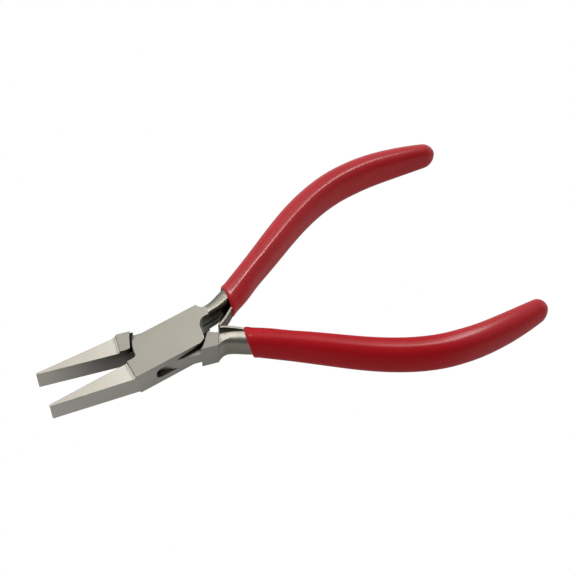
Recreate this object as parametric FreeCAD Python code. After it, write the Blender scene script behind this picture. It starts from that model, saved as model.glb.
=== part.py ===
import FreeCAD, Part
import math
import os

# Box-joint pliers with smooth flat jaws, sprung open by two leaf springs.
# Millimetres. +Z runs up along the pivot. The origin is the centre of the
# pivot on the lower ground face of the joint. +X runs from the pivot along
# the bisector towards the ends of the handles, so the jaws point along -X.
# The solids are written in the spring-open position.
#
# Each half is modelled in its own frame, with its jaw face on y = 0 and z
# counted from the middle of the joint. The box half has its jaw at -X, -Y and
# its handle at +X, +Y. The tongue half is the other way up: its jaw, tang,
# leaf, rivet and grip are built like the box half's, then mirrored in y.
# "Front" means the jaw end (-X) and "rear" the handle end (+X).

# ---- driving dimensions ---------------------------------------------------
open_deg = 16.5          # angle between the jaw faces, springs relaxed
extra_open_deg = 3.5     # further opening allowed by hand
half_open = open_deg / 2.0

# joint
joint_half_t = 3.75      # half thickness of the ground joint block
joint_half_w = 5.33      # half width of the joint block
cheek_r = 8.85           # outer radius of the cheek ends about the pivot
cheek_edge_r = cheek_r - 0.05    # the same where a cheek meets the block's side
slot_half = 1.79         # half height of the slot through the box half
tongue_half = 1.75       # half thickness of the tongue in the slot
wall_r = 8.42            # radius of the slot's end walls about the pivot
slot_round = 1.2         # rounding of the slot's end edges
tongue_r = 7.35          # radius of the tongue's rounded ends
ledge_half_t = 3.0       # half thickness of the tongue half's ledges
web_half_t = 3.42        # half thickness of the tongue half's web
pin_r = 2.5
pin_clear = 0.05

# jaws
jaw_len = 33.1           # pivot axis to jaw tip
jaw_base_x = 12.75       # where the base thickness is measured
jaw_root_x = 11.4        # where the jaw ends, inside the joint block
lower_tip_t, lower_base_y = 0.56, 5.11   # lower jaw, thickness at tip and base
upper_tip_t, upper_base_y = 0.46, 4.90   # upper jaw, the same
jaw_tip_half_z = 2.74
jaw_base_half_z = 2.93
jaw_gap = 0.02           # gap left by each jaw face when shut
step_r = 0.82            # hollow step from the joint down to the jaw
step_under = 0.66        # the lower step starts this much nearer the pivot
step_reach = 3.4         # reach of the step cutter over the jaw
step_overrun = 4.0       # overrun of the step cutter at each end

# leaf springs and rivets
leaf_t = 0.7
leaf_half_t = leaf_t / 2.0
leaf_half_z = 1.95       # half width of a leaf
leaf_tail = 2.1          # leaf beyond the rivet centre
leaf_meet = 0.42         # how far the meeting point lies off the bisector
leaf_ratio = 0.5         # leaf angle per unit of jaw angle
close_leaf = -leaf_ratio * open_deg      # leaf turn against its handle, jaws shut
open_leaf = leaf_ratio * extra_open_deg  # the same, jaws opened fully by hand
room_half_z = leaf_half_z + 0.15         # space cleared for a leaf
rivet_r = 1.0
rivet_clear = 0.12
rivet_depth = 2.6        # depth of the rivet into the tang

# handles
grip_cap_len = 3.1       # rounded end of the grip
tang_start = 1.4         # first tang section on the handle centre line
tang_pitch = 6.2         # spacing of the tang sections
tang_end_gap = 9.0       # tang ends this far short of the grip's end
grip_wall = 0.62         # least wall of the grip over the tang
tang_taper_w = 0.35      # loss of half width and half height along the tang
tang_taper_h = 1.2
tang_slack_h = 0.05      # extra clearance in half height
# planes of the grips' mouths: x = a + b*y + c*z, y counted outwards from the
# bisector of the relaxed pliers and z from the middle of the joint
upper_mouth = (18.84, -0.026, 0.066)
lower_mouth = (20.36, -0.223, -0.187)

# Exponents of the superellipse sections: 2 is an ellipse, higher is squarer
outer_power = 2.3
grip_inner_power = 3.0
neck_inner_power = 5.0
tang_inner_power = 4.2
section_points = 32

V = FreeCAD.Vector
ORIGIN = V(0, 0, 0)
Z = V(0, 0, 1)


# ---- shape helpers --------------------------------------------------------
def rotate(point, deg, centre=(0.0, 0.0)):
    angle = math.radians(deg)
    x, y = point[0] - centre[0], point[1] - centre[1]
    return (x * math.cos(angle) - y * math.sin(angle) + centre[0],
            x * math.sin(angle) + y * math.cos(angle) + centre[1])


def polar(radius, deg):
    return (radius * math.cos(math.radians(deg)), radius * math.sin(math.radians(deg)))


def unit(x, y):
    length = math.hypot(x, y)
    return (x / length, y / length)


def polygon_face(corners):
    return Part.Face(Part.makePolygon(corners + [corners[0]]))


def prism(points, half_z):
    face = polygon_face([V(x, y, -half_z) for x, y in points])
    return face.extrude(V(0, 0, 2 * half_z))


def outline(start, pieces, half_z):
    """Plate bounded by line, arc and spline pieces, each given as its kind
    and the points that follow the end of the piece before."""
    edges = []
    last = V(start[0], start[1], -half_z)
    for kind, points in pieces:
        path = [last] + [V(x, y, -half_z) for x, y in points]
        if kind == "line":
            edges += [Part.makeLine(p, q) for p, q in zip(path[:-1], path[1:])]
        elif kind == "arc":
            edges.append(Part.Arc(*path).toShape())
        else:
            curve = Part.BSplineCurve()
            curve.interpolate(path)
            edges.append(curve.toShape())
        last = path[-1]
    return Part.Face(Part.Wire(edges)).extrude(V(0, 0, 2 * half_z))


def polyhedron(polygons):
    solid = Part.Solid(Part.Shell([polygon_face(corners) for corners in polygons]))
    if solid.Volume < 0:
        solid.reverse()
    return solid


def frustum(near, far):
    """Solid between two four-cornered faces, every side flat."""
    polygons = [near, far]
    for i in range(4):
        j = (i + 1) % 4
        polygons.append([near[i], near[j], far[j], far[i]])
    return polyhedron(polygons)


def mirror_y(shape):
    return shape.mirror(ORIGIN, V(0, 1, 0))


def pivot_bore(radius):
    return Part.makeCylinder(radius, 20, V(0, 0, -10))


# ---- handle centre line and sections --------------------------------------
# x, y control points of a clamped cubic spline, upper handle, spring-open
handle_ctrl = [(19.33, 7.58), (31.94, 14.84), (45.04, 24.40), (59.32, 30.22),
               (66.56, 31.10), (73.77, 31.68), (84.51, 30.59), (92.14, 29.32)]
# half width, half height: control points of the grip's size along its length
grip_size_ctrl = [(2.82, 4.03), (3.30, 4.72), (3.45, 4.93), (3.60, 5.13), (2.19, 3.14)]


def clamped_spline(ctrl, t):
    """Point at t (0 to 1) of a clamped cubic spline, by de Boor's method."""
    count, degree = len(ctrl), 3
    spans = count - degree
    knots = [0.0] * (degree + 1) + [i / float(spans) for i in range(1, spans)]
    knots += [1.0] * (degree + 1)
    t = min(max(t, 0.0), 1.0 - 1e-12)
    span = degree
    while knots[span + 1] <= t:
        span += 1
    points = [ctrl[i + span - degree] for i in range(degree + 1)]
    for level in range(1, degree + 1):
        for i in range(degree, level - 1, -1):
            low = knots[i + span - degree]
            high = knots[i + 1 + span - level]
            f = (t - low) / (high - low)
            points[i] = tuple((1 - f) * p + f * q for p, q in zip(points[i - 1], points[i]))
    return points[degree]


line_steps = 2000
line_points = [clamped_spline(handle_ctrl, i / float(line_steps))
               for i in range(line_steps + 1)]
line_run = [0.0]         # arc length up to each point
for p, q in zip(line_points[:-1], line_points[1:]):
    line_run.append(line_run[-1] + math.hypot(q[0] - p[0], q[1] - p[1]))
grip_len = line_run[-1]
tang_len = grip_len - tang_end_gap


def along(dist):
    """Point and unit tangent of the centre line at an arc length, in the
    half's own frame. Runs on straight beyond either end."""
    i = 0
    while i < line_steps - 1 and line_run[i + 1] <= dist:
        i += 1
    (x0, y0), (x1, y1) = line_points[i], line_points[i + 1]
    length = line_run[i + 1] - line_run[i]
    f = (dist - line_run[i]) / length
    point = (x0 + (x1 - x0) * f, y0 + (y1 - y0) * f)
    tangent = ((x1 - x0) / length, (y1 - y0) / length)
    return rotate(point, -half_open), rotate(tangent, -half_open)


def section(point, tangent, outer, inner, half_z, inner_power):
    """Closed smooth section square to the centre line: rounded on the outer
    side of the handle, with its own half width and power on the inner side."""
    normal = (-tangent[1], tangent[0])
    points = []
    for i in range(section_points):
        angle = 2 * math.pi * i / section_points
        c, s = math.cos(angle), math.sin(angle)
        power = outer_power if c >= 0 else inner_power
        half_w = outer if c >= 0 else inner
        radius = (abs(c) ** power + abs(s) ** power) ** (-1.0 / power)
        across = half_w * radius * c
        points.append(V(point[0] + normal[0] * across, point[1] + normal[1] * across,
                        half_z * radius * s))
    curve = Part.BSplineCurve()
    curve.interpolate(Points=points, PeriodicFlag=True)
    return Part.Wire([curve.toShape()])


def smooth(x, low, high):
    f = min(max((x - low) / (high - low), 0.0), 1.0)
    return f * f * (3 - 2 * f)


def grip_size(dist):
    """Outer and inner half widths, half height and inner power of the grip.
    The inner side is deeper and rounder near the mouth."""
    half_w, half_h = clamped_spline(grip_size_ctrl, max(dist, 0.0) / grip_len)
    mouth = 1.0 - smooth(dist, 1.0, 11.0)
    outer = half_w + 0.3 * smooth(dist, 8.0, 34.0)
    return outer, half_w + 1.15 * mouth, half_h, grip_inner_power - 0.9 * mouth


# arc lengths of the grip's sections; negative ones lie before the centre line
grip_stations = [-3.0, -1.5, 0.0, 2.0, 4.5, 8.0, 12.5, 18.0, 24.0, 30.5, 37.0,
                 43.5, 50.0, 56.5, 63.0, 69.0, 74.0]
# sections of the rounded end: distance left to the end, as a part of its length
cap_stations = (1.0, 0.78, 0.56, 0.36, 0.20, 0.085, 0.02)


def grip_section(dist, scale=1.0):
    point, tangent = along(dist)
    outer, inner, half_h, power = grip_size(dist)
    return section(point, tangent, outer * scale, inner * scale, half_h * scale, power)


def make_grip_body():
    cap_start = grip_len - grip_cap_len
    wires = [grip_section(s) for s in grip_stations if s < cap_start - 1.5]
    wires.append(grip_section(cap_start - 1.2))
    for left in cap_stations:
        scale = math.sqrt(max(1 - (1 - left) ** 2, 0.0))
        wires.append(grip_section(grip_len - grip_cap_len * left, scale))
    return Part.makeLoft(wires, True, False)


# neck sections: x, centre y, half width, half thickness
box_neck = [(10.4, 3.15, 2.20, 3.60), (12.4, 3.05, 1.95, 3.62),
            (14.4, 3.15, 1.92, 3.56), (16.4, 3.55, 2.05, 3.47),
            (18.3, 4.17, 2.16, 3.42)]
tongue_neck = [(10.4, 3.15, 2.20, 3.45), (12.4, 3.05, 1.95, 3.45),
               (14.4, 3.15, 1.92, 3.42), (16.4, 3.55, 2.05, 3.40),
               (18.3, 4.17, 2.16, 3.42)]
# rounded end of the tang: distance from its end, scale of the section
tang_end_sections = [(1.6, 1.0), (0.7, 0.86), (0.2, 0.62), (0.0, 0.40)]


def tang_section(dist, cut_w, cut_h, scale=1.0):
    """Section inside the grip's, smaller by a cut in half width and height."""
    point, tangent = along(dist)
    outer, _, half_h, _ = grip_size(dist)
    half_w = (outer - cut_w) * scale
    return section(point, tangent, half_w, half_w, (half_h - cut_h) * scale, tang_inner_power)


def make_tang(neck):
    """Neck out of the joint, and the tang that fills the grip."""
    wires = []
    for i, (x, y, half_w, half_z) in enumerate(neck):
        if i == 0:
            tangent = unit(1.0, -0.05)
        else:
            after = neck[i + 1] if i < len(neck) - 1 else along(1.5)[0]
            tangent = unit(after[0] - neck[i - 1][0], after[1] - neck[i - 1][1])
        wires.append(section((x, y), tangent, half_w, half_w, half_z, neck_inner_power))
    dist = tang_start
    while dist < tang_len - 2.0:
        taper = smooth(dist, 0.0, tang_len)
        wires.append(tang_section(dist, grip_wall + tang_taper_w * taper,
                                  grip_wall + tang_slack_h + tang_taper_h * taper))
        dist += tang_pitch
    for back, scale in tang_end_sections:
        wires.append(tang_section(tang_len - back, grip_wall + tang_taper_w,
                                  grip_wall + tang_slack_h + tang_taper_h, scale))
    return Part.makeLoft(wires, True, False)


# ---- leaf springs ---------------------------------------------------------
# x, y of a leaf's middle line from tip to root, springs relaxed. The two
# leaves lie either side of the bisector; their tips meet a little nearer the
# lower handle. The rivet is at the last point but one.
leaf_line = [(13.90, 0.37), (15.05, 0.98), (16.60, 1.98), (18.30, 3.27), (20.30, 4.88),
             (22.40, 6.52), (24.60, 8.14), (26.9, 9.75), (29.2, 11.28)]
leaf_shift_end_x = leaf_line[4][0]       # the shift of the tip fades out here
leaf_samples = 24


class Leaf:
    """One leaf in its own half's frame, handle side up."""

    def __init__(self, tip_shift):
        middle = []
        for x, y in leaf_line:
            fade = max(0.0, (leaf_shift_end_x - x) / (leaf_shift_end_x - leaf_line[0][0]))
            middle.append(rotate((x, y + tip_shift * fade), -half_open))
        self.root = middle[-2]           # rivet centre, where the leaf hinges
        dx, dy = unit(middle[-1][0] - middle[-3][0], middle[-1][1] - middle[-3][1])
        self.angle = math.degrees(math.atan2(dy, dx))
        end = (self.root[0] + leaf_tail * dx, self.root[1] + leaf_tail * dy)
        curve = Part.BSplineCurve()
        curve.interpolate([V(x, y, 0) for x, y in middle[:-1] + [end]])
        first, last = curve.FirstParameter, curve.LastParameter
        self.samples = []                # points and tangents
        for i in range(leaf_samples + 1):
            u = first + (last - first) * i / leaf_samples
            self.samples.append((curve.value(u), curve.tangent(u)[0]))

    def edge(self, offset, turn=0.0):
        """Middle line offset towards the handle, turned about the root."""
        return [rotate((p.x - t.y * offset, p.y + t.x * offset), turn, self.root)
                for p, t in self.samples]

    def move_to_root(self, shape):
        """Turn X along the leaf at the rivet and put the origin there."""
        shape.rotate(ORIGIN, Z, self.angle)
        shape.translate(V(self.root[0], self.root[1], 0))
        return shape


box_leaf = Leaf(-leaf_meet)
tongue_leaf = Leaf(leaf_meet)


def make_leaf(leaf):
    upper, lower = leaf.edge(leaf_half_t), leaf.edge(-leaf_half_t)
    tip, tangent = leaf.samples[0]
    nose = (tip.x - tangent.x * leaf_half_t, tip.y - tangent.y * leaf_half_t)
    solid = outline(upper[0], [("spline", upper[1:]),
                               ("line", [lower[-1]]),
                               ("spline", lower[-2::-1]),
                               ("arc", [nose, upper[0]])], leaf_half_z)
    # rounded root end, seen square to the leaf
    rounding = Part.makeBox(8, 8, 8, V(0, -4, -4))
    rounding = rounding.cut(Part.makeCylinder(leaf_half_z, 8, V(0, -4, 0), V(0, 1, 0)))
    hole = Part.makeCylinder(rivet_r + rivet_clear, 6, V(0, -3, 0), V(0, 1, 0))
    return solid.cut(leaf.move_to_root(rounding)).cut(leaf.move_to_root(hole))


def make_rivet(leaf):
    rivet = Part.makeCylinder(rivet_r, rivet_depth + leaf_t,
                              V(0, -leaf_half_t, 0), V(0, 1, 0))
    return leaf.move_to_root(rivet)


def leaf_room(leaf):
    """Channel cleared in the handle for the leaf as the jaws shut."""
    root_x = leaf.root[0]
    shut = leaf.edge(leaf_half_t + 0.06, close_leaf)
    opened = leaf.edge(leaf_half_t + 0.04, open_leaf)
    top = [p for p in shut if p[0] < root_x - 0.8]
    tail = [p for p in opened if p[0] > root_x - 0.2]
    front_x, front_y = top[0][0] - 1.2, top[0][1]
    rear_x, rear_y = tail[-1][0] + 0.6, tail[-1][1]
    return prism([(front_x, front_y), *top, *tail, (rear_x, rear_y + 0.25),
                  (rear_x, rear_y - 8.0), (front_x, front_y - 9.0)], room_half_z)


def grip_pocket(leaf):
    """Space for the leaf inside the grip over its whole travel."""
    root_x = leaf.root[0]
    offset = -leaf_half_t - 0.05
    low = [p for p in leaf.edge(offset, open_leaf) if p[0] < root_x - 0.3]
    tail = [p for p in leaf.edge(offset, close_leaf) if p[0] > root_x + 0.3]
    end_x, end_y = tail[-1]
    return prism(low + tail + [(end_x + 0.25, end_y + 0.1), (end_x - 0.95, end_y + 2.6),
                               (low[0][0], low[0][1] + 4.5)], room_half_z)


# ---- jaw ------------------------------------------------------------------
def make_jaw(tip_t, base_y):
    """Lower jaw: flat inner face just below y = 0, tapering to the tip."""
    slope = (base_y - tip_t) / (jaw_len - jaw_base_x)
    root_t = tip_t + slope * (jaw_len - jaw_root_x)

    def end(x, thickness, half_z):
        return [V(x, -thickness, -half_z), V(x, -jaw_gap, -half_z),
                V(x, -jaw_gap, half_z), V(x, -thickness, half_z)]

    return frustum(end(-jaw_len, tip_t, jaw_tip_half_z),
                   end(-jaw_root_x, root_t, jaw_base_half_z))


def cut_steps(block, start, end):
    """Cut hollow steps across the block's front, above and below the jaw,
    running from start to end in plan."""
    direction = V(end[0] - start[0], end[1] - start[1], 0)
    length = direction.Length + 2 * step_overrun
    direction.normalize()
    inward = V(-direction.y, direction.x, 0)     # towards the pivot
    if inward.x < 0:
        inward = inward * -1
    for side in (1, -1):
        shift = step_under if side < 0 else 0.0
        base = V(start[0] + shift, start[1], 0) - direction * step_overrun

        def at(across, up):
            return base + inward * across + V(0, 0, side * (jaw_base_half_z + step_r + up))

        mid = step_r * math.sqrt(0.5)
        corners = [at(0, -step_r), at(-step_reach, -step_r), at(-step_reach, 1),
                   at(step_r, 1), at(step_r, 0)]
        edges = [Part.Arc(at(step_r, 0), at(mid, -mid), at(0, -step_r)).toShape()]
        edges += [Part.makeLine(p, q) for p, q in zip(corners[:-1], corners[1:])]
        block = block.cut(Part.Face(Part.Wire(edges)).extrude(direction * length))
    return block


# ---- box half -------------------------------------------------------------
def cut_slot(block):
    """A disc about the pivot, open towards the upper left and lower right."""
    disc = Part.makeCylinder(wall_r, 2 * slot_half, V(0, 0, -slot_half))
    rims = [e for e in disc.Edges if isinstance(e.Curve, Part.Circle)]
    disc = disc.makeFillet(slot_round, rims)
    upper_left = prism([(-14, 0), (0, 0), (0, 7), (-14, 7)], slot_half)
    lower_right = prism([(14, -0.9), (0, -0.9), (0, -7), (14, -7)], slot_half)
    return block.cut(disc.fuse([upper_left, lower_right]))


def cut_slot_mouths(block):
    """Flared mouths of the slot, breaking out through the side walls."""
    for side in (1, -1):
        for turn in (0, 180):
            a, b, c, d = [V(x, y, side * z) for x, y, z in (
                (-1.9, -5.6, 1.6), (7.6, -5.6, 1.6), (7.6, -1.7, 1.6), (7.6, -5.6, 3.50))]
            flare = polyhedron([[a, b, c], [a, b, d], [b, c, d], [a, c, d]])
            if turn:
                flare.rotate(ORIGIN, Z, turn)
            block = block.cut(flare)
    return block


def box_block():
    w = joint_half_w
    block = outline((-6.25, w), [
        ("spline", [(-6.95, 5.03), polar(cheek_edge_r, 150)]),
        ("arc", [polar(cheek_r, 162), polar(cheek_r, 174.5)]),
        ("spline", [(-8.98, 0.42), (-9.6, 0.06), (-10.6, -jaw_gap)]),
        ("line", [(-12.62, -jaw_gap), (-12.95, -5.07), (-11.55, -w), (6.25, -w)]),
        ("spline", [(6.95, -5.03), polar(cheek_edge_r, -30)]),
        ("arc", [polar(cheek_r, -18), polar(cheek_r, -6)]),
        ("spline", [(9.1, -0.35), (9.67, 0.42), (10.3, 0.92), (11.1, 1.14), (12.62, 1.16)]),
        ("line", [(13.3, 3.56)]),
        ("spline", [(12.29, 3.84), (11.62, 4.55), (11.36, w)]),
        ("line", [(-6.25, w)])], joint_half_t)
    block = cut_steps(block, (-12.40, 0.0), (-12.76, -5.25))
    return cut_slot_mouths(cut_slot(block))


def box_lever():
    lever = box_block().fuse([make_jaw(lower_tip_t, lower_base_y), make_tang(box_neck)])
    lever = lever.cut(leaf_room(box_leaf))
    lever = lever.cut(pivot_bore(pin_r))
    lever = lever.cut(make_rivet(box_leaf))
    return lever.removeSplitter()


# ---- tongue half: jaw at -X, +Y and handle at +X, -Y ----------------------
def front_shoulder():
    """Full thickness, its inner face hollow about the pivot."""
    shoulder = outline((-8.42, 5.28), [
        ("line", [(-12.3, 5.28), (-13.1, 4.88), (-13.0, jaw_gap), (-10.9, jaw_gap)]),
        ("spline", [(-10.2, 0.12), (-9.75, 0.26), (-9.46, 0.5)]),
        ("spline", [(-9.30, 1.45), (-9.02, 3.1), (-8.64, 4.6), (-8.42, 5.28)])],
        joint_half_t)
    return cut_steps(shoulder, (-12.89, 0.0), (-12.80, 5.3))


def rear_shoulder():
    return outline((7.1, -5.3), [
        ("spline", [(7.78, -4.5), (8.63, -3.15), (9.36, -1.76), (9.84, -0.92)]),
        ("spline", [(10.15, -0.74), (10.8, -0.84), (12.68, -1.18)]),
        ("line", [(11.98, -3.9)]),
        ("spline", [(11.68, -4.75), (11.5, -5.3)]),
        ("line", [(7.1, -5.3)])], joint_half_t)


# The ledges are thinner than the shoulders and run up close to the box
# half's round cheeks.
def front_ledge():
    return outline((-7.68, 5.26), [
        ("line", [(-9.8, 5.26), (-9.8, 0.8), (-9.10, 0.8)]),
        ("spline", [(-9.03, 1.6), (-8.74, 2.6), (-8.28, 3.95), (-7.68, 5.26)])],
        ledge_half_t)


def rear_ledge():
    return outline((7.32, -5.29), [
        ("spline", [(8.00, -4.2), (8.52, -3.0), (8.84, -1.76), (8.97, -0.62)]),
        ("spline", [(9.45, -0.28), (10.1, -0.22), (10.8, -0.60)]),
        ("line", [(10.8, -5.29), (7.32, -5.29)])], ledge_half_t)


def neck_web():
    """Fills between the rear shoulder and the neck."""
    return outline((11.5, -5.3), [
        ("line", [(9.5, -5.3), (9.5, -2.0), (14.6, -3.0), (14.6, -4.0)]),
        ("spline", [(13.9, -3.96), (13.1, -4.15), (12.3, -4.60), (11.5, -5.3)])],
        web_half_t)


def tongue():
    """Ends rounded about the pivot, sides set back at the slot's mouths."""
    face_y = jaw_gap + 0.01
    side_y = joint_half_w - 0.02
    return outline((-10.8, 4.95), [
        ("line", [(-10.8, face_y), (-tongue_r + 0.02, face_y)]),
        ("arc", [polar(tongue_r, 194), polar(tongue_r, 208)]),
        ("spline", [(-4.9, -4.45), (-2.6, -4.95), (-0.4, -side_y)]),
        ("line", [(10.8, -5.28), (10.8, -0.86)]),
        ("spline", [(10.1, -0.60), (9.45, -0.68), (8.95, -1.02)]),
        ("line", [(tongue_r - 0.05, -1.02)]),
        ("arc", [polar(tongue_r, 14), polar(tongue_r, 28)]),
        ("spline", [(4.9, 4.45), (2.6, 4.95), (0.4, side_y)]),
        ("line", [(-8.6, 5.2), (-10.8, 4.95)])], tongue_half)


def tongue_lever():
    lever = front_shoulder().fuse([
        tongue(), rear_shoulder(), neck_web(), front_ledge(), rear_ledge(),
        mirror_y(make_jaw(upper_tip_t, upper_base_y)), mirror_y(make_tang(tongue_neck))])
    lever = lever.cut(mirror_y(leaf_room(tongue_leaf)))
    lever = lever.cut(pivot_bore(pin_r + pin_clear))
    lever = lever.cut(mirror_y(make_rivet(tongue_leaf)))
    return lever.removeSplitter()


# ---- pin and grips --------------------------------------------------------
def pivot_pin():
    return Part.makeCylinder(pin_r, 2 * joint_half_t, V(0, 0, -joint_half_t))


def make_grip(neck, leaf, mouth):
    """Grip body cut off at its mouth and hollowed for the tang and leaf."""
    mouth_x, per_y, per_z = mouth
    y0, y1, front_x = -15.0, 40.0, -10.0         # extent of the waste

    def waste_side(z):
        return [V(mouth_x + per_y * y0 + per_z * z, y0, z),
                V(mouth_x + per_y * y1 + per_z * z, y1, z),
                V(front_x, y1, z), V(front_x, y0, z)]

    waste = frustum(waste_side(-12.0), waste_side(12.0))
    waste.rotate(ORIGIN, Z, -half_open)
    return make_grip_body().cut(waste).cut(make_tang(neck)).cut(grip_pocket(leaf))


# ---- placing and saving ---------------------------------------------------
def save(name, shape, deg):
    """Turn a piece to the spring-open position, lift it and write it."""
    placed = shape.copy()
    placed.rotate(ORIGIN, Z, deg)
    placed.translate(V(0, 0, joint_half_t))
    if len(placed.Solids) == 1:
        placed = placed.Solids[0]
    placed.exportStep("parts/%s.step" % name)


os.makedirs("parts", exist_ok=True)

save("box_lever", box_lever(), half_open)
save("tongue_lever", tongue_lever(), -half_open)
save("pivot_pin", pivot_pin(), half_open)
save("upper_leaf_spring", make_leaf(box_leaf), half_open)
save("lower_leaf_spring", mirror_y(make_leaf(tongue_leaf)), -half_open)
save("upper_spring_rivet", make_rivet(box_leaf), half_open)
save("lower_spring_rivet", mirror_y(make_rivet(tongue_leaf)), -half_open)
save("upper_grip", make_grip(box_neck, box_leaf, upper_mouth), half_open)
save("lower_grip", mirror_y(make_grip(tongue_neck, tongue_leaf, lower_mouth)), -half_open)
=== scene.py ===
"""Small pliers with a box joint, two red dipped grips and a pair of leaf springs.

The pin stands on the Z axis. The jaws point to -X and the handles to +X, the upper grip
lies on the +Y side and the lower grip on the -Y side. Mesh shapes are worked out in mm
about the joint's mid-plane. Materials, floor and lights are in metres.
"""
import math
from functools import cached_property

import bmesh
import bpy
import numpy as np
from mathutils import Matrix, Vector, noise


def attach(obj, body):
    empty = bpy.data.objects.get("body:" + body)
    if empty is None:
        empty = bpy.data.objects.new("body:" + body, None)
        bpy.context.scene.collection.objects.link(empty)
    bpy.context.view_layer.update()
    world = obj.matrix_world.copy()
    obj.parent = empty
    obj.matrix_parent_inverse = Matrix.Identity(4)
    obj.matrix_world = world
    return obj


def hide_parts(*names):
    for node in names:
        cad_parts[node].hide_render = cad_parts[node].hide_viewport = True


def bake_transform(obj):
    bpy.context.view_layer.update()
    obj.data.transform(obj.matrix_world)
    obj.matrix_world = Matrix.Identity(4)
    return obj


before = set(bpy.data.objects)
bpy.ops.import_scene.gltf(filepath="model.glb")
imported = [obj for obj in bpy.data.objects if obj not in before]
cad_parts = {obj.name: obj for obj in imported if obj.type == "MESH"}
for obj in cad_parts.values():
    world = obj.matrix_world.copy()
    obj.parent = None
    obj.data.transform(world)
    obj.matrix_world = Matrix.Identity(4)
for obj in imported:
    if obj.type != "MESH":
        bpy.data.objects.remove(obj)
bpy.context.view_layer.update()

scene = bpy.context.scene

MM = 0.001
MID_PLANE = 3.75        # height of the joint's mid-plane above the origin, mm
HALF_OPENING = 8.25     # each lever's turn from the X axis at rest, degrees


# ---------------------------------------------------------------- mesh helpers
def new_mesh(name, points, faces, smooth=True):
    mesh = bpy.data.meshes.new(name)
    mesh.from_pydata([tuple(point) for point in points], [], faces)
    mesh.validate()
    mesh.update()
    for polygon in mesh.polygons:
        polygon.use_smooth = smooth
    piece = bpy.data.objects.new(name, mesh)
    scene.collection.objects.link(piece)
    return piece


def skin(name, rings, side):
    """Capped tube through rings of mm points, mirrored in Y for the lower side (-1)."""
    count = len(rings[0])
    points = (np.concatenate(rings) * [1, side, 1] + [0, 0, MID_PLANE]) * MM
    faces = []
    for i in range(len(rings) - 1):
        here, ahead = i * count, (i + 1) * count
        for j in range(count):
            k = (j + 1) % count
            faces.append((here + j, here + k, ahead + k, ahead + j))
    faces.append(tuple(range(count))[::-1])
    faces.append(tuple((len(rings) - 1) * count + j for j in range(count)))
    piece = new_mesh(name, points, faces)

    edit = bmesh.new()
    edit.from_mesh(piece.data)
    bmesh.ops.recalc_face_normals(edit, faces=edit.faces)
    edit.to_mesh(piece.data)
    edit.free()
    return piece


def smoothstep(value, low, high):
    share = np.clip((value - low) / (high - low), 0, 1)
    return share * share * (3 - 2 * share)


def clamped_spline(control, share):
    """Point of a clamped cubic B-spline at a share 0..1 of its parameter (de Boor)."""
    control = np.asarray(control, float)
    count, degree = len(control), 3
    inner_knots = np.arange(1, count - degree) / float(count - degree)
    knots = np.r_[np.zeros(degree + 1), inner_knots, np.ones(degree + 1)]
    share = min(max(share, 0.0), 1.0 - 1e-12)
    span = degree
    while knots[span + 1] <= share:
        span += 1
    work = [control[i + span - degree] for i in range(degree + 1)]
    for level in range(1, degree + 1):
        for i in range(degree, level - 1, -1):
            low = knots[i + span - degree]
            high = knots[i + 1 + span - level]
            weight = (share - low) / (high - low)
            work[i] = (1 - weight) * work[i - 1] + weight * work[i]
    return work[degree]


# ---------------------------------------------------------------- grip centre line
# control points (x, y) of the upper grip's centre line, mm
GRIP_CONTROL = [(19.33, 7.58), (31.94, 14.84), (45.04, 24.40), (59.32, 30.22),
                (66.56, 31.10), (73.77, 31.68), (84.51, 30.59), (92.14, 29.32)]
CENTRE = np.array([clamped_spline(GRIP_CONTROL, i / 3000.0) for i in range(3001)])
CENTRE_RUN = np.r_[0, np.cumsum(np.linalg.norm(np.diff(CENTRE, axis=0), axis=1))]
GRIP_LENGTH = CENTRE_RUN[-1]
START_TANGENT = (CENTRE[1] - CENTRE[0]) / np.linalg.norm(CENTRE[1] - CENTRE[0])
TANGENT_REACH = 0.15    # half the chord that gives the tangent, mm


def centre_point(run):
    return np.array([np.interp(run, CENTRE_RUN, CENTRE[:, axis]) for axis in (0, 1)])


def along(run):
    """Centre-line point and tangent at an arc length; straight before the start."""
    if run < 0:
        return CENTRE[0] + START_TANGENT * run, START_TANGENT
    run = min(run, GRIP_LENGTH - 1e-6)
    before = centre_point(max(run - TANGENT_REACH, 0))
    after = centre_point(min(run + TANGENT_REACH, GRIP_LENGTH))
    chord = after - before
    return centre_point(run), chord / np.linalg.norm(chord)


# ---------------------------------------------------------------- grip section
HALF_WIDTHS = [2.82, 3.30, 3.45, 3.60, 2.19]    # spline control values along the grip, mm
HALF_HEIGHTS = [4.03, 4.72, 4.93, 5.13, 3.14]
OUTER_SWELL = 0.3           # extra half width on the outer side, past the mouth
MOUTH_SWELL = 1.15          # extra half width on the inner side, at the mouth
OUTER_POWER = 2.3           # superellipse powers
INNER_POWER = 3.0
MOUTH_POWER_DROP = 0.9
# the soft crease near the upper edge: arc length in mm, angle in degrees from the outer side
CREASE_RUNS = [-4, 0, 4, 12, 30, 45, 60, 90]
CREASE_ANGLES = [126, 120, 110, 108, 114, 110, 100, 98]
CREASE_LINE = math.radians(107.5)   # mesh angle that is moved onto the crease
CREASE_SPREAD = 0.34                # width of the raised crease, radians
END_CAP = 3.1                       # length of the rounded end, mm
SECTION_POINTS = 176


def crease_at(run):
    return math.radians(float(np.interp(run, CREASE_RUNS, CREASE_ANGLES)))


def follow_crease(angle, run):
    """Slide the mesh lines round the section so that one runs along each crease."""
    full, crease = 2 * math.pi, crease_at(run)
    return float(np.interp(angle,
                           [0, CREASE_LINE, math.pi, full - CREASE_LINE, full],
                           [0, crease, math.pi, full - crease, full]))


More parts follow.
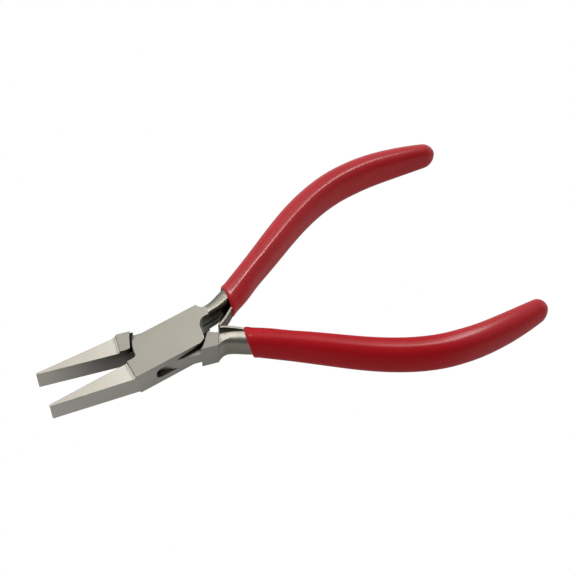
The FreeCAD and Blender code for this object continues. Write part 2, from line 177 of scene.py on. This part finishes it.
def section_angles():
    """Angles round the section, closer together over the creases."""
    grid = np.linspace(0, 2 * np.pi, 7201)
    dense_at, spread, gain = math.radians(112), math.radians(24), 3.2
    density = (1 + gain * np.exp(-((grid - dense_at) / spread) ** 2)
               + gain * np.exp(-((2 * np.pi - grid - dense_at) / spread) ** 2))
    total = np.r_[0, np.cumsum(0.5 * (density[1:] + density[:-1]))]
    steps = np.arange(SECTION_POINTS) * total[-1] / SECTION_POINTS
    return [float(angle) for angle in np.interp(steps, total, grid)]


def section_point(run, angle, swell, shrink):
    """Offset from the centre line: outwards (+) in the plane of the grips, and up."""
    share = max(run, 0.0) / GRIP_LENGTH
    width = float(clamped_spline(HALF_WIDTHS, share))
    height = float(clamped_spline(HALF_HEIGHTS, share))
    at_mouth = 1.0 - float(smoothstep(run, 1.0, 11.0))
    cosine, sine = math.cos(angle), math.sin(angle)
    if cosine >= 0:
        power = OUTER_POWER
        width += OUTER_SWELL * float(smoothstep(run, 8.0, 34.0))
    else:
        power = INNER_POWER - MOUTH_POWER_DROP * at_mouth
        width += MOUTH_SWELL * at_mouth
    radius = (abs(cosine) ** power + abs(sine) ** power) ** (-1.0 / power)
    return ((width + swell) * shrink * radius * cosine,
            (height + swell) * shrink * radius * sine)


def grip_point(run, angle, inset=0.0, swell=0.0, ridge=0.0):
    """Point on the upper grip's surface, or inset mm below it."""
    centre, tangent = along(run)
    angle = follow_crease(angle, run)
    left = (GRIP_LENGTH - run) / END_CAP
    shrink = math.sqrt(max(1 - (1 - left) ** 2, 0.0)) if left < 1 else 1.0
    out, up = section_point(run, angle, swell, shrink)
    crease = crease_at(run)
    for crease_angle in (crease, 2 * math.pi - crease):
        rise = ridge * shrink * math.exp(-((angle - crease_angle) / CREASE_SPREAD) ** 2)
        reach = math.hypot(out, up)
        if reach > 1e-9:
            out, up = out * (1 + rise / reach), up * (1 + rise / reach)
    reach = math.hypot(out, up)
    if inset and reach > 1e-9:
        keep = max(reach - inset, 0.0) / reach
        out, up = out * keep, up * keep
    return np.array([centre[0] - tangent[1] * out, centre[1] + tangent[0] * out, up])


# ---------------------------------------------------------------- grips
WALL = 0.66             # coat thickness round the bore, mm
LIP = 0.30              # radius of the rounded lip
SQUARE_FROM = 12.0      # arc length past which the rings are square to the centre line
SPACING = 0.42          # distance between rings along the grip


def mouth_runs(angles, mouth):
    """Arc length at which each lengthwise line meets the mouth plane, by bisection."""
    offset, per_y, per_z = mouth
    runs = []
    for angle in angles:
        low, high = -4.0, 6.0
        for _ in range(40):
            middle = (low + high) / 2
            x, y, z = grip_point(middle, angle)
            if x < offset + per_y * y + per_z * z:
                low = middle
            else:
                high = middle
        runs.append((low + high) / 2)
    return runs


def inside_stations():
    """(distance from mouth, inset, swell): bore from its blind end, then the lip."""
    stations = [(distance, WALL, 0.0) for distance in (4.5, 3.0, 1.5, 0.6, 0.12)]
    stations.append((0.03, WALL - 0.07, 0.0))
    for degrees in (0, 18, 36, 54, 72, 90):
        turn = math.radians(degrees)
        stations.append((LIP * (1 - math.cos(turn)), LIP * (1 - math.sin(turn)), 0.0))
    return stations


def outside_stations():
    """(distance from mouth, inset, swell), from a slight bead at the mouth to the end."""
    distances = [0.5, 0.75, 1.0, 1.4, 1.9, 2.5]
    distances += list(np.arange(3.2, GRIP_LENGTH - END_CAP, SPACING))
    stations = [(d, 0.0, 0.10 * math.exp(-((d - 0.55) / 0.7) ** 2)) for d in distances]
    for left in (1.0, 0.9, 0.8, 0.7, 0.6, 0.5, 0.41, 0.33, 0.26, 0.19, 0.13, 0.085, 0.05,
                 0.024, 0.008):
        stations.append((GRIP_LENGTH - END_CAP * left, 0.0, 0.0))
    return stations


def uneven(ring, noise_start):
    """Gentle unevenness of a dipped coat."""
    centre = ring.mean(axis=0)
    result = ring.copy()
    for j, (x, y, z) in enumerate(ring):
        place = Vector((x * 0.11 + noise_start, y * 0.11, z * 0.11))
        wave = noise.noise(place) * 0.045 + noise.noise(place * 3.1) * 0.003
        offset = ring[j] - centre
        reach = np.linalg.norm(offset)
        if reach > 0.3:
            result[j] = centre + offset * (1 + (wave - 0.03) / reach)
    return result


def build_grip(name, body, node, side, mouth, ridge, noise_start):
    """mouth: (a, b, c) of the plane x = a + b*y + c*z, y outwards.
    ridge: crease height near the mouth and near the end."""
    angles = section_angles()
    starts = mouth_runs(angles, mouth)

    def ring(distance, inset, swell):
        points = []
        for start, angle in zip(starts, angles):
            run = distance
            if distance < SQUARE_FROM:
                run = start + distance * (SQUARE_FROM - start) / SQUARE_FROM
            height = ridge[0] + (ridge[1] - ridge[0]) * smoothstep(run, 46, 64)
            height *= min(max(distance - 0.3, 0.0), 1.0)
            points.append(grip_point(run, angle, inset, swell, height))
        return np.array(points)

    inside = inside_stations()
    rings = [ring(*station) for station in inside + outside_stations()]
    # the bore, the lip and the first outer ring stay even
    even = len(inside) + 1
    rings[even:] = [uneven(points, noise_start) for points in rings[even:]]
    grip = skin(name, rings, side)
    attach(grip, body)
    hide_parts(node)
    return grip


# ---------------------------------------------------------------- leaf springs
# centre line (x, y) of the upper leaf from its tip to its rivet, mm
LEAF = np.array([(13.90, 0.37), (15.05, 0.98), (16.60, 1.98), (18.30, 3.27),
                 (20.30, 4.88), (22.40, 6.52), (24.60, 8.14), (26.9, 9.75)])
LEAF_ROOT = LEAF[-1]
BEND_END = LEAF[4, 0]       # x where the sideways shift of the tip has died out
TIP_SHIFT = 0.42            # both tips meet this far to -Y of the X axis
LEAF_HALF_THICKNESS = 0.35
LEAF_HALF_HEIGHT = 1.95
LEAF_EDGE = 0.12            # radius of the long edges


def natural_spline(points, count):
    """Natural cubic through the points by chord length: count points and tangents."""
    chords = np.linalg.norm(np.diff(points, axis=0), axis=1)
    knots = np.r_[0, np.cumsum(chords)]
    size = len(points)
    gaps = np.diff(knots)
    system = np.zeros((size, size))
    target = np.zeros((size, 2))
    system[0, 0] = system[-1, -1] = 1
    for i in range(1, size - 1):
        system[i, i - 1] = gaps[i - 1]
        system[i, i] = 2 * (gaps[i - 1] + gaps[i])
        system[i, i + 1] = gaps[i]
        target[i] = 6 * ((points[i + 1] - points[i]) / gaps[i]
                         - (points[i] - points[i - 1]) / gaps[i - 1])
    curve = np.linalg.solve(system, target)     # second derivatives at the points
    places, tangents = [], []
    for run in np.linspace(0, knots[-1], count):
        i = min(max(np.searchsorted(knots, run) - 1, 0), size - 2)
        gap = gaps[i]
        ahead, behind = knots[i + 1] - run, run - knots[i]
        from_start = points[i] / gap - curve[i] * gap / 6
        from_end = points[i + 1] / gap - curve[i + 1] * gap / 6
        places.append(curve[i] * ahead ** 3 / (6 * gap) + curve[i + 1] * behind ** 3 / (6 * gap)
                      + from_start * ahead + from_end * behind)
        slope = (-curve[i] * ahead ** 2 / (2 * gap) + curve[i + 1] * behind ** 2 / (2 * gap)
                 - from_start + from_end)
        tangents.append(slope / np.linalg.norm(slope))
    return places, tangents


def leaf_section():
    """Rounded rectangle (across, up) with extra points on the two broad faces."""
    across, up = LEAF_HALF_THICKNESS - LEAF_EDGE, LEAF_HALF_HEIGHT - LEAF_EDGE
    corners = []
    for x, z, first in ((across, up, 0), (-across, up, 90), (-across, -up, 180),
                        (across, -up, 270)):
        for degrees in (0, 22.5, 45, 67.5, 90):
            turn = math.radians(first + degrees)
            corners.append((x + LEAF_EDGE * math.cos(turn), z + LEAF_EDGE * math.sin(turn)))
    section = []
    for here, ahead in zip(corners, corners[1:] + corners[:1]):
        section.append(here)
        step = (ahead[0] - here[0], ahead[1] - here[1])
        if math.hypot(*step) > 1.0:
            for share in (0.1, 0.3, 0.5, 0.7, 0.9):
                section.append((here[0] + step[0] * share, here[1] + step[1] * share))
    return section


def build_leaf(name, side, node):
    shift = np.clip((BEND_END - LEAF[:, 0]) / (BEND_END - LEAF[0, 0]), 0, 1)
    line = LEAF + np.c_[np.zeros(len(LEAF)), -TIP_SHIFT * side * shift]
    points, tangents = natural_spline(line, 90)
    # (place, tangent, thickness share): rounded nose, leaf, straight tail past the rivet
    stations = []
    for degrees in (82, 64, 46, 28, 12):
        turn = math.radians(degrees)
        place = points[0] - tangents[0] * LEAF_HALF_THICKNESS * math.sin(turn)
        stations.append((place, tangents[0], math.cos(turn)))
    stations += [(point, tangent, 1.0) for point, tangent in zip(points, tangents)]
    for distance in (0.6, 1.1, 1.5, 1.8):
        stations.append((LEAF_ROOT + tangents[-1] * distance, tangents[-1], 1.0))

    section = leaf_section()
    rings = []
    for place, tangent, thick in stations:
        tall = 1.0 - 0.10 * (1 - thick)
        rings.append(np.array([[place[0] - tangent[1] * across * thick,
                                place[1] + tangent[0] * across * thick,
                                up * tall] for across, up in section]))
    leaf = skin(name, rings, side)
    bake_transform(leaf)
    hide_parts(node)
    return leaf


# ---------------------------------------------------------------- node graphs
class Graph:
    """A cleared node tree. Inputs take a plain value or another node's output."""

    def __init__(self, owner):
        owner.use_nodes = True
        self.tree = owner.node_tree
        self.tree.nodes.clear()

    def node(self, kind, inputs=None, **settings):
        made = self.tree.nodes.new("ShaderNode" + kind)
        for name, value in settings.items():
            setattr(made, name, value)
        for key, value in (inputs or {}).items():
            if isinstance(value, bpy.types.NodeSocket):
                self.tree.links.new(value, made.inputs[key])
            else:
                made.inputs[key].default_value = value
        return made

    @cached_property
    def coords(self):
        return self.node("TexCoord").outputs["Object"]

    @cached_property
    def geometry(self):
        return self.node("NewGeometry").outputs

    def separate(self, vector):
        parts = self.node("SeparateXYZ", {0: vector}).outputs
        return parts[0], parts[1], parts[2]

    def math(self, operation, *values):
        return self.node("Math", dict(enumerate(values)), operation=operation).outputs[0]

    def both(self, mask, other):
        return self.math("MULTIPLY", mask, other)

    def size(self, value):
        return self.math("ABSOLUTE", value)

    def ramp(self, value, start, end, low=0.0, high=1.0):
        """Smooth step from low at start to high at end."""
        inputs = {"Value": value, "From Min": start, "From Max": end,
                  "To Min": low, "To Max": high}
        made = self.node("MapRange", inputs, interpolation_type="SMOOTHSTEP")
        return made.outputs["Result"]

    def noise(self, vector, scale, detail, roughness=0.5):
        inputs = {"Vector": vector, "Scale": scale, "Detail": detail, "Roughness": roughness}
        return self.node("TexNoise", inputs).outputs[0]

    def two_colours(self, value, start, end, low, high):
        made = self.node("ValToRGB", {0: value})
        for stop, place, colour in zip(made.color_ramp.elements, (start, end), (low, high)):
            stop.position = place
            stop.color = (*colour, 1)
        return made.outputs[0]

    def mix(self, mask, first, second, blend="MIX"):
        inputs = {0: mask, 6: first, 7: second}
        return self.node("Mix", inputs, data_type="RGBA", blend_type=blend).outputs[2]

    def multiply(self, colour, by, amount=1.0):
        if isinstance(by, tuple):
            by = (*by, 1)
        return self.mix(amount, colour, by, "MULTIPLY")

    def tint(self, mask, colour, by):
        """Multiply the colour only where the mask is 1."""
        return self.mix(mask, colour, self.multiply(colour, by))

    def shade_gaps(self, colour, reach, start, low, only_local=False):
        """Painted shade: darken down to low where surfaces closer than reach hide each other.
        """
        hidden = self.node("AmbientOcclusion", {"Distance": reach}, samples=12,
                           only_local=only_local)
        open_share = self.ramp(hidden.outputs["AO"], start=start, end=0.72, low=low)
        return self.multiply(colour, open_share)


# ---------------------------------------------------------------- steel
STEEL = (0.62, 0.595, 0.54)
GROUND = (0.625, 0.618, 0.588)  # tint of the ground joint faces, duller
JAW = (0.97, 0.955, 0.91)       # tint of the polished tops of the jaws, lighter and creamier


def scaled(colour, factors):
    return tuple(part * factor for part, factor in zip(colour, factors))


def lever_zones(graph, colour, roughness, side, place, mottle):
    """Tints by place on a lever: box lever (side 1) or tongue lever (side -1)."""
    ramp, tint, both = graph.ramp, graph.tint, graph.both
    x, _, z = graph.separate(place)
    _, normal_y, normal_z = graph.separate(graph.geometry["True Normal"])
    jaw_x = -0.0122 if side > 0 else -0.0127
    jaw = ramp(x, start=jaw_x, end=jaw_x - 0.0003)
    flat = ramp(graph.size(normal_z), start=0.90, end=0.985)
    block = both(ramp(x, start=jaw_x - 0.0002, end=jaw_x + 0.0003),
                 ramp(x, start=0.0136, end=0.0120))
    # ground joint block and polished jaw tops
    ground = both(flat, block)
    colour = tint(ground, colour, GROUND)
    bright = both(flat, jaw)
    colour = tint(bright, colour, JAW)
    roughness = graph.math("MULTIPLY_ADD", ground, 0.05, roughness)
    roughness = graph.math("MULTIPLY_ADD", bright, -0.06, roughness)
    # inner faces of the jaws: painted shade with some oxide, darker towards the joint
    facing = graph.math("MULTIPLY", normal_y, float(side))
    inner = both(ramp(facing, start=0.6, end=0.9), ramp(x, start=-0.0085, end=-0.0093))
    deep = ramp(x, start=-0.0330, end=-0.0125, high=0.72)
    colour = tint(both(inner, deep), colour, (0.06, 0.06, 0.055))
    # inner sides of the necks: painted shade, mottled dark grey
    facing = graph.math("MULTIPLY", normal_y, -float(side))
    neck_inner_shade = both(ramp(facing, start=0.20, end=0.60), ramp(x, start=0.0098, end=0.0112))
    scale = graph.two_colours(mottle, start=0.35, end=0.70,
                              low=(0.26, 0.268, 0.245), high=(0.42, 0.428, 0.395))
    colour = tint(neck_inner_shade, colour, scale)
    # painted dark shade line along the middle of that side, painted lighter strip below it
    shade_line_z = ramp(x, start=0.0150, end=0.0195, low=0.00372, high=0.0056)
    shade_line = ramp(graph.size(graph.math("SUBTRACT", z, shade_line_z)), start=0.00055, end=0.00015)
    colour = tint(both(neck_inner_shade, shade_line), colour, (0.12, 0.12, 0.11))
    band = ramp(z, start=0.0034, end=0.0028)
    colour = tint(both(neck_inner_shade, band), colour, (1.35, 1.36, 1.33))
    # painted highlight on the jaws' tops where they curve up to the shoulders
    shoulder = both(bright, ramp(x, start=-0.0172, end=-0.0134))
    colour = tint(shoulder, colour, (1.02, 1.03, 1.04))
    if side < 0:
        # painted shade on the sunken ledges beside the joint, then the rear of the ground block
        # darker
        below = ramp(z, start=0.0071, end=0.0069)
        near = ramp(graph.size(x), start=0.0122, end=0.0118)
        ledge = both(flat, both(below, both(near, ramp(z, start=0.0060, end=0.0064))))
        colour = tint(ledge, colour, (0.05, 0.05, 0.05))
        rear = both(ground, ramp(x, start=0.0060, end=0.0070))
        colour = tint(rear, colour, (0.80, 0.80, 0.80))
    # necks darker and warmer than the jaws; the box lever's neck is painted darker still, as
    # painted shade
    neck = ramp(x, start=0.0118, end=0.0140)
    colour = tint(neck, colour, (0.52, 0.512, 0.468) if side > 0 else (0.80, 0.79, 0.74))
    # painted shade in the joint's gaps
    colour = graph.shade_gaps(colour, reach=0.0048, start=0.30, low=0.10, only_local=True)
    return colour, roughness


def softened_normal(graph):
    """Rounded edges everywhere but close round the pin."""
    rounded = graph.node("Bevel", {"Radius": 0.16 * MM}, samples=8).outputs[0]
    x, y, _ = graph.separate(graph.coords)
    radius = graph.math("SQRT", graph.math("ADD", graph.math("MULTIPLY", x, x),
                                           graph.math("MULTIPLY", y, y)))
    far = graph.math("GREATER_THAN", radius, 0.0034)
    inputs = {0: far, 4: graph.geometry["Normal"], 5: rounded}
    return graph.node("Mix", inputs, data_type="VECTOR").outputs[1]


def steel(name, base, roughness, brush_angle, side=None, gap_reach=0.0020, upright_light_tint=None):
    """Satin steel brushed along brush_angle degrees. side adds the zones of a lever,
    upright_light_tint paints light and shade on the upright faces of a leaf spring."""
    material = bpy.data.materials.new(name)
    graph = Graph(material)
    turn = {"Vector": graph.coords, "Rotation": (0, 0, math.radians(brush_angle))}
    brushed = graph.node("Mapping", turn, vector_type="TEXTURE").outputs[0]
    # grinding lines: noise stretched along the brushing direction
    stretch = {"Vector": brushed, "Scale": (160, 3800, 3800)}
    stretched = graph.node("Mapping", stretch).outputs[0]
    streak = graph.noise(stretched, scale=1.0, detail=3.0, roughness=0.6)
    mottle = graph.noise(graph.coords, scale=160.0, detail=4.0, roughness=0.55)
    grain = graph.noise(graph.coords, scale=2600.0, detail=2.0)
    colour = graph.two_colours(mottle, start=0.32, end=0.70,
                               low=scaled(base, (0.92, 0.92, 0.91)),
                               high=scaled(base, (1.04, 1.04, 1.05)))
    colour = graph.multiply(colour, streak, amount=0.10)
    # streaks and mottle vary the roughness about its mean
    rough = graph.math("MULTIPLY_ADD", streak, 0.12, roughness - 0.06)
    rough = graph.math("MULTIPLY_ADD", mottle, 0.10, rough)
    rough = graph.math("SUBTRACT", rough, 0.05)
    if side:
        colour, rough = lever_zones(graph, colour, rough, side, brushed, mottle)
    # painted light and shade on the upright faces of a leaf spring
    if upright_light_tint:
        _, _, normal_z = graph.separate(graph.geometry["True Normal"])
        upright = graph.ramp(graph.size(normal_z), start=0.6, end=0.2)
        colour = graph.tint(upright, colour, upright_light_tint)
    # painted shade held in narrow gaps, with some dirt
    colour = graph.shade_gaps(colour, reach=gap_reach, start=0.22, low=0.06)
    relief = {"Strength": 0.10, "Distance": 0.00002,
              "Height": graph.math("MULTIPLY_ADD", grain, 0.5, streak)}
    if side:
        relief["Normal"] = softened_normal(graph)
    surface = graph.node("BsdfPrincipled", {
        "Metallic": 1.0, "Base Color": colour, "Roughness": rough,
        "Normal": graph.node("Bump", relief).outputs[0]})
    graph.node("OutputMaterial", {0: surface.outputs[0]})
    return material


# ---------------------------------------------------------------- red plastic
def grip_plastic(name, gloss, end_gloss):
    """Dipped red coat, with the specular level set apart for the middle and the end."""
    material = bpy.data.materials.new(name)
    graph = Graph(material)
    mottle = graph.noise(graph.coords, scale=90.0, detail=3.0)
    colour = graph.two_colours(mottle, start=0.3, end=0.72,
                               low=(0.80, 0.0125, 0.0230), high=(0.90, 0.0145, 0.0270))
    x, _, _ = graph.separate(graph.coords)
    specular = graph.ramp(x, start=0.056, end=0.072, low=gloss, high=end_gloss)
    # broad waves with a fine orange peel
    peel = graph.noise(graph.coords, scale=620.0, detail=2.0)
    wave = graph.noise(graph.coords, scale=130.0, detail=1.0)
    height = graph.math("MULTIPLY_ADD", wave, 3.0, graph.math("MULTIPLY", peel, 0.22))
    bump = graph.node("Bump", {"Strength": 0.09, "Distance": 0.00005, "Height": height})
    surface = graph.node("BsdfPrincipled", {
        "Base Color": colour, "IOR": 1.46, "Specular IOR Level": specular,
        "Roughness": graph.math("MULTIPLY_ADD", mottle, 0.06, 0.235),
        "Subsurface Weight": 0.06, "Subsurface Radius": (0.0012, 0.0003, 0.0003),
        "Subsurface Scale": 1.0, "Normal": bump.outputs[0]})
    graph.node("OutputMaterial", {0: surface.outputs[0]})
    return material


def set_material(piece, material):
    piece.data.materials.clear()
    piece.data.materials.append(material)


# ---------------------------------------------------------------- pieces
box_steel = steel("steel_box_half", STEEL, 0.42, HALF_OPENING, side=1)
tongue_steel = steel("steel_tongue_half", STEEL, 0.42, -HALF_OPENING, side=-1)
pin_steel = steel("steel_pin", scaled(STEEL, GROUND), 0.47, HALF_OPENING)
# both leaves are one spring steel: the upper leaf's base is painted darker, its upright faces
# warmer; the lower leaf's upright faces are painted in shade
upper_leaf_steel = steel("steel_leaf_upper", (0.30, 0.28, 0.24), 0.40, 36,
                         gap_reach=0.0012, upright_light_tint=(1.02, 0.94, 0.82))
lower_leaf_steel = steel("steel_leaf_lower", (0.36, 0.343, 0.30), 0.40, -36,
                         gap_reach=0.0012, upright_light_tint=(0.75, 0.71, 0.62))
rivet_steel = steel("steel_rivets", (0.5, 0.5, 0.5), 0.4, 0)
upper_red = grip_plastic("dipped_red_upper", gloss=0.66, end_gloss=0.66)
lower_red = grip_plastic("dipped_red_lower", gloss=0.22, end_gloss=0.62)

for node_name, node_material in (("box_lever", box_steel), ("tongue_lever", tongue_steel),
                                 ("pivot_pin", pin_steel),
                                 ("upper_spring_rivet", rivet_steel),
                                 ("lower_spring_rivet", rivet_steel)):
    set_material(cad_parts[node_name], node_material)

upper_grip = build_grip("upper_grip_dipped", "box_half", "upper_grip", side=1,
                        mouth=(18.84, -0.026, 0.066), ridge=(0.21, 0.18), noise_start=7.3)
lower_grip = build_grip("lower_grip_dipped", "tongue_half", "lower_grip", side=-1,
                        mouth=(20.36, -0.223, -0.187), ridge=(0.0, 0.14), noise_start=1.1)
set_material(upper_grip, upper_red)
set_material(lower_grip, lower_red)
upper_leaf = build_leaf("upper_leaf_bent", 1, "upper_leaf_spring")
lower_leaf = build_leaf("lower_leaf_bent", -1,
                        "lower_leaf_spring")
set_material(upper_leaf, upper_leaf_steel)
set_material(lower_leaf, lower_leaf_steel)

# ---------------------------------------------------------------- floor and world
FLOOR_Z = -0.0016
FLOOR_HALF = 3
VIEW_X, VIEW_Y = 0.43, 0.90     # the camera's forward direction in plan


def floor_material():
    material = bpy.data.materials.new("floor_white")
    graph = Graph(material)
    x, y, _ = graph.separate(graph.coords)
    # glow that falls off along X and away from the object
    along_x = graph.ramp(x, start=-0.022, end=0.016, low=0.345, high=0.19)
    from_middle = graph.math("SUBTRACT", x, 0.03)
    distance = graph.math("SQRT", graph.math("ADD", graph.math("POWER", from_middle, 2.0),
                                             graph.math("POWER", y, 2.0)))
    fade = graph.ramp(distance, start=0.12, end=0.55, low=1.0, high=0.25)
    # the sweep rises brightly behind the object
    behind = graph.math("ADD", graph.math("MULTIPLY", x, VIEW_X),
                        graph.math("MULTIPLY", y, VIEW_Y))
    sweep = graph.ramp(behind, start=0.07, end=0.16, high=0.75)
    strength = graph.math("ADD", graph.math("MULTIPLY", along_x, fade), sweep)
    diffuse = graph.node("BsdfDiffuse", {"Color": (0.30, 0.30, 0.30, 1)}).outputs[0]
    glow = graph.node("Emission", {"Color": (1, 1, 1, 1), "Strength": strength}).outputs[0]
    lit = graph.node("AddShader", {0: diffuse, 1: glow}).outputs[0]
    # seen directly the floor is plain white
    white = graph.node("Emission", {"Strength": 1.0}).outputs[0]
    direct = graph.node("LightPath").outputs["Is Camera Ray"]
    top = graph.node("MixShader", {0: direct, 1: lit, 2: white}).outputs[0]
    # from below it doesn't hide the object
    clear = graph.node("BsdfTransparent").outputs[0]
    surface = graph.node("MixShader", {0: graph.geometry["Backfacing"], 1: top, 2: clear})
    graph.node("OutputMaterial", {0: surface.outputs[0]})
    return material


white_floor = floor_material()
floor_corners = [(x * FLOOR_HALF, y * FLOOR_HALF, FLOOR_Z)
                 for x, y in ((-1, -1), (1, -1), (1, 1), (-1, 1))]
floor = new_mesh("floor", floor_corners, [(0, 1, 2, 3)], smooth=False)
set_material(floor, white_floor)


def build_world():
    """Grey surround, brighter behind the object than on the camera's side."""
    world = bpy.data.worlds.new("studio")
    scene.world = world
    graph = Graph(world)
    direction = graph.node("TexCoord").outputs["Generated"]
    dot = graph.node("VectorMath", {0: direction, 1: (VIEW_X, VIEW_Y, 0.0)},
                     operation="DOT_PRODUCT").outputs["Value"]
    grey = graph.ramp(dot, start=-0.85, end=0.85, low=0.12, high=0.60)
    colour = graph.node("CombineColor", {0: grey, 1: grey, 2: grey}).outputs[0]
    background = graph.node("Background", {"Color": colour, "Strength": 1.0}).outputs[0]
    graph.node("OutputWorld", {0: background})


build_world()

# ---------------------------------------------------------------- lights
LIGHT_TARGET = Vector((0.0, 0.0, 0.004))
LIGHT_DISTANCE = 0.8


def softbox(name, azimuth, elevation, width, height, radiance):
    """Area light; azimuth in degrees from +Y, clockwise seen from above."""
    turn, rise = math.radians(azimuth), math.radians(elevation)
    direction = Vector((math.sin(turn) * math.cos(rise), math.cos(turn) * math.cos(rise),
                        math.sin(rise)))
    light = bpy.data.lights.new(name, "AREA")
    light.shape = "RECTANGLE"
    light.size, light.size_y = width, height
    light.energy = radiance * math.pi * width * height
    lamp = bpy.data.objects.new(name, light)
    scene.collection.objects.link(lamp)
    lamp.location = LIGHT_TARGET + direction * LIGHT_DISTANCE
    lamp.rotation_euler = (-direction).to_track_quat("-Z", "Y").to_euler()
    return lamp


softbox("softbox_back", azimuth=25.5, elevation=56, width=0.42, height=0.34, radiance=0.99)
softbox("softbox_left", azimuth=-52, elevation=33, width=0.30, height=0.30, radiance=3.1)
strip = softbox("softbox_strip", azimuth=52, elevation=62, width=0.13, height=0.13,
                radiance=24.0)
strip.visible_diffuse = False

# ---------------------------------------------------------------- camera
CAMERA_PITCH = math.radians(52.9)       # looking down from the horizontal
CAMERA_AZIMUTH = math.radians(25.47)    # forward direction, clockwise from +Y
# the joint's centre seen from the camera: right, down and forward, mm
JOINT_IN_VIEW = np.array([-29.821466, 15.059528, 332.6])


def build_camera():
    pitch_cos, pitch_sin = math.cos(CAMERA_PITCH), math.sin(CAMERA_PITCH)
    turn_cos, turn_sin = math.cos(CAMERA_AZIMUTH), math.sin(CAMERA_AZIMUTH)
    turn = np.array([[turn_cos, -turn_sin, 0], [turn_sin, turn_cos, 0], [0, 0, 1]])
    # rows: right, down, forward
    axes = np.array([[1, 0, 0], [0, -pitch_sin, -pitch_cos], [0, pitch_cos, -pitch_sin]]) @ turn
    position = (np.array([0, 0, MID_PLANE]) - axes.T @ JOINT_IN_VIEW) * MM
    columns = np.column_stack([axes[0], -axes[1], -axes[2], position])
    data = bpy.data.cameras.new("camera")
    data.sensor_width = 36.0
    data.sensor_fit = "HORIZONTAL"
    data.lens = 83.125
    data.clip_start = 0.01
    data.clip_end = 20
    camera = bpy.data.objects.new("camera", data)
    scene.collection.objects.link(camera)
    camera.matrix_world = Matrix(columns.tolist() + [[0, 0, 0, 1]])
    scene.camera = camera


build_camera()
scene.view_settings.view_transform = "Standard"
scene.view_settings.look = "None"
scene.view_settings.exposure = 0.0
scene.view_settings.gamma = 1.0
